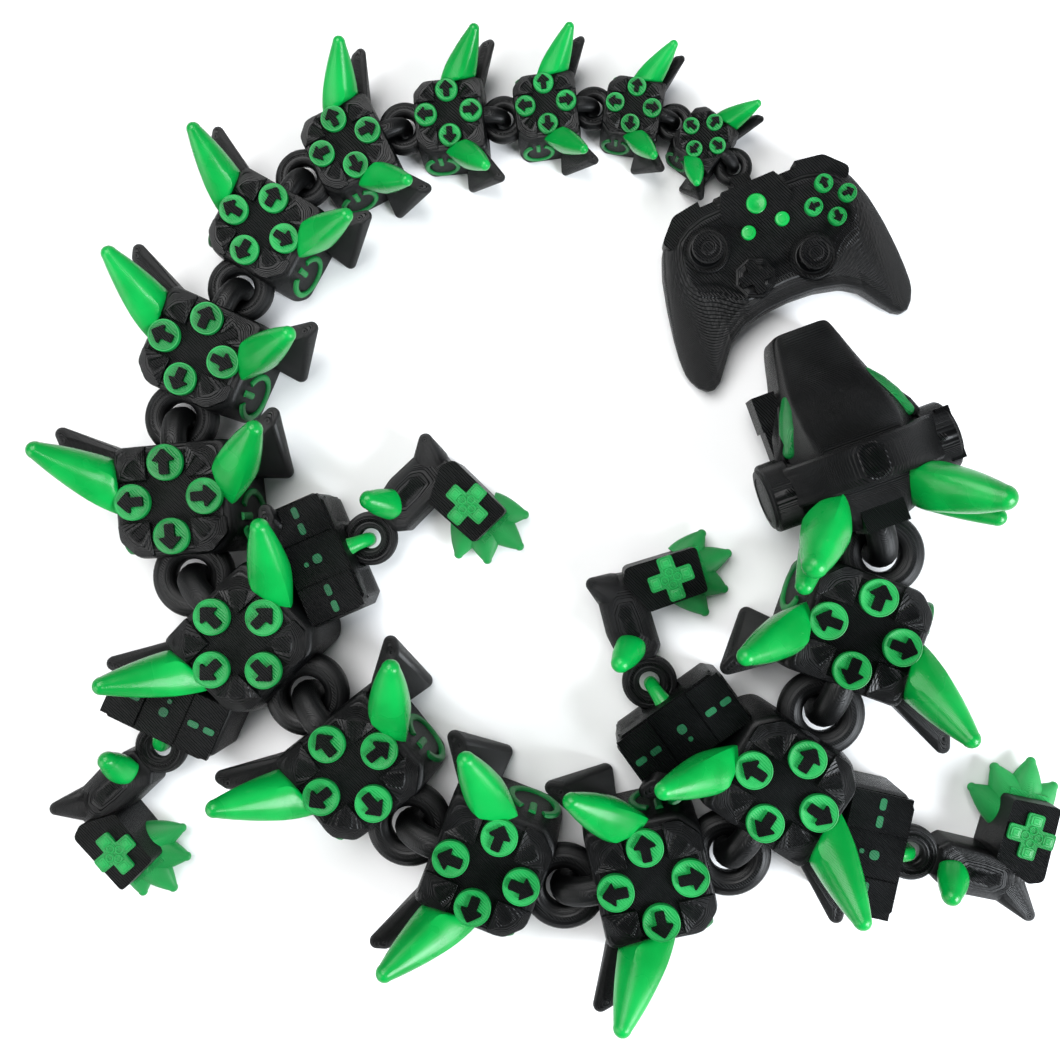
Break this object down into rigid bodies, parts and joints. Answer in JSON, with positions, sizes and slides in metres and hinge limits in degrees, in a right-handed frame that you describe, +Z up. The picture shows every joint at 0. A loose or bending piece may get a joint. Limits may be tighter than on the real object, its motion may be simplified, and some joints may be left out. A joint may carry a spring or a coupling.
{
  "type": "articulated printed dragon",
  "caption": "Flexible 3D-printed dragon with linked vertebrae, hooked legs, a headset on its head and a game controller for a tail.",
  "frame": {"origin": "middle of the flat underside of vertebra 7, which rests on the table", "axes": "+Z up, away from the table; +X and +Y lie in the table's plane, as the dragon lies curled with its head on the +X side and its tail's controller on the +X +Y side"},
  "size_m": [0.2822, 0.2622, 0.0476],
  "materials": {
    "black_filament": "satin black PLA with fine layer lines",
    "green_filament": "glossy bright green PLA"
  },
  "bodies": {
    "spine_01": {"spine_01_shell": "black_filament", "spine_01_trim": "green_filament"},
    "spine_02": {"spine_02_shell": "black_filament", "spine_02_trim": "green_filament", "front_left_console": "black_filament", "front_left_hook": "green_filament", "front_right_console": "black_filament", "front_right_hook": "green_filament"},
    "spine_03": {"spine_03_shell": "black_filament", "spine_03_trim": "green_filament"},
    "spine_04": {"spine_04_shell": "black_filament", "spine_04_trim": "green_filament"},
    "spine_05": {"spine_05_shell": "black_filament", "spine_05_trim": "green_filament"},
    "spine_06": {"spine_06_shell": "black_filament", "spine_06_trim": "green_filament", "rear_left_console": "black_filament", "rear_left_hook": "green_filament", "rear_right_console": "black_filament", "rear_right_hook": "green_filament"},
    "spine_07": {"spine_07_shell": "black_filament", "spine_07_trim": "green_filament"},
    "spine_08": {"spine_08_shell": "black_filament", "spine_08_trim": "green_filament"},
    "spine_09": {"spine_09_shell": "black_filament", "spine_09_trim": "green_filament"},
    "spine_10": {"spine_10_shell": "black_filament", "spine_10_trim": "green_filament"},
    "spine_11": {"spine_11_shell": "black_filament", "spine_11_trim": "green_filament"},
    "spine_12": {"spine_12_shell": "black_filament", "spine_12_trim": "green_filament"},
    "spine_13": {"spine_13_shell": "black_filament", "spine_13_trim": "green_filament"},
    "spine_14": {"spine_14_shell": "black_filament", "spine_14_trim": "green_filament"},
    "front_left_leg": {"front_left_leg": "black_filament", "front_left_claws": "green_filament"},
    "front_right_leg": {"front_right_leg": "black_filament", "front_right_claws": "green_filament"},
    "rear_left_leg": {"rear_left_leg": "black_filament", "rear_left_claws": "green_filament"},
    "rear_right_leg": {"rear_right_leg": "black_filament", "rear_right_claws": "green_filament"},
    "head": {"head_shell": "black_filament", "headset": "black_filament", "head_eyes": "green_filament", "head_horns": "green_filament"},
    "controller": {"controller_shell": "black_filament", "controller_sticks": "black_filament", "controller_buttons": "green_filament", "controller_symbols": "black_filament"}
  },
  "joints": [
    {"name": "bend_06_07", "type": "hinge", "parent": "spine_07", "child": "spine_06", "pos_m": [0.00186, -0.0212, 0.01218], "axis": [0, 0, -1], "range_deg": [0, 54.5]},
    {"name": "bend_05_06", "type": "hinge", "parent": "spine_06", "child": "spine_05", "pos_m": [0.03369, -0.0536, 0.0123], "axis": [0, 0, -1], "range_deg": [0, 8]},
    {"name": "bend_04_05", "type": "hinge", "parent": "spine_05", "child": "spine_04", "pos_m": [0.06201, -0.0892, 0.0123], "axis": [0, 0, -1], "range_deg": [0, 45.5]},
    {"name": "bend_03_04", "type": "hinge", "parent": "spine_04", "child": "spine_03", "pos_m": [0.10449, -0.10551, 0.0123], "axis": [0, 0, -1], "range_deg": [0, 48.5]},
    {"name": "bend_02_03", "type": "hinge", "parent": "spine_03", "child": "spine_02", "pos_m": [0.14891, -0.09566, 0.0123], "axis": [0, 0, -1], "range_deg": [0, 59.5]},
    {"name": "bend_01_02", "type": "hinge", "parent": "spine_02", "child": "spine_01", "pos_m": [0.17369, -0.0575, 0.0123], "axis": [0, 0, -1], "range_deg": [0, 26]},
    {"name": "bend_07_08", "type": "hinge", "parent": "spine_07", "child": "spine_08", "pos_m": [-0.002, 0.02282, 0.01095], "axis": [0, 0, 1], "range_deg": [0, 44.5]},
    {"name": "bend_08_09", "type": "hinge", "parent": "spine_08", "child": "spine_09", "pos_m": [0.01448, 0.05898, 0.00984], "axis": [0, 0, 1], "range_deg": [0, 20.5]},
    {"name": "bend_09_10", "type": "hinge", "parent": "spine_09", "child": "spine_10", "pos_m": [0.03225, 0.08976, 0.00861], "axis": [0, 0, 1], "range_deg": [0, 49]},
    {"name": "bend_10_11", "type": "hinge", "parent": "spine_10", "child": "spine_11", "pos_m": [0.06027, 0.10343, 0.00763], "axis": [0, 0, 1], "range_deg": [0, 36.5]},
    {"name": "lift_11_12", "type": "hinge", "parent": "spine_11", "child": "spine_12", "pos_m": [0.08325, 0.10524, 0.00689], "axis": [0.0785, -0.9969, 0], "range_deg": [0, 25]},
    {"name": "lift_12_13", "type": "hinge", "parent": "spine_12", "child": "spine_13", "pos_m": [0.10857, 0.10796, 0.00627], "axis": [0.1132, -0.9936, 0], "range_deg": [0, 25]},
    {"name": "lift_13_14", "type": "hinge", "parent": "spine_13", "child": "spine_14", "pos_m": [0.13142, 0.10498, 0.00553], "axis": [-0.1822, -0.9833, 0], "range_deg": [0, 25]},
    {"name": "controller_lift", "type": "hinge", "parent": "spine_14", "child": "controller", "pos_m": [0.14828, 0.09399, 0.00553], "axis": [-0.6157, -0.788, 0], "range_deg": [0, 25]},
    {"name": "head_lift", "type": "hinge", "parent": "spine_01", "child": "head", "pos_m": [0.18641, -0.00695, 0.0123], "axis": [0.9397, 0.342, 0], "range_deg": [0, 7]},
    {"name": "front_left_swing", "type": "hinge", "parent": "spine_02", "child": "front_left_leg", "pos_m": [0.12814, -0.0503, 0.0078], "axis": [0, 0, 1], "range_deg": [-6, 25]},
    {"name": "front_right_swing", "type": "hinge", "parent": "spine_02", "child": "front_right_leg", "pos_m": [0.1988, -0.09619, 0.0078], "axis": [0, 0, 1], "range_deg": [-25, 25]},
    {"name": "rear_left_swing", "type": "hinge", "parent": "spine_06", "child": "rear_left_leg", "pos_m": [0.05058, -0.01068, 0.0078], "axis": [0, 0, 1], "range_deg": [-25, 25]},
    {"name": "rear_right_swing", "type": "hinge", "parent": "spine_06", "child": "rear_right_leg", "pos_m": [-0.00951, -0.06973, 0.0078], "axis": [0, 0, 1], "range_deg": [-25, 25]}
  ]
}
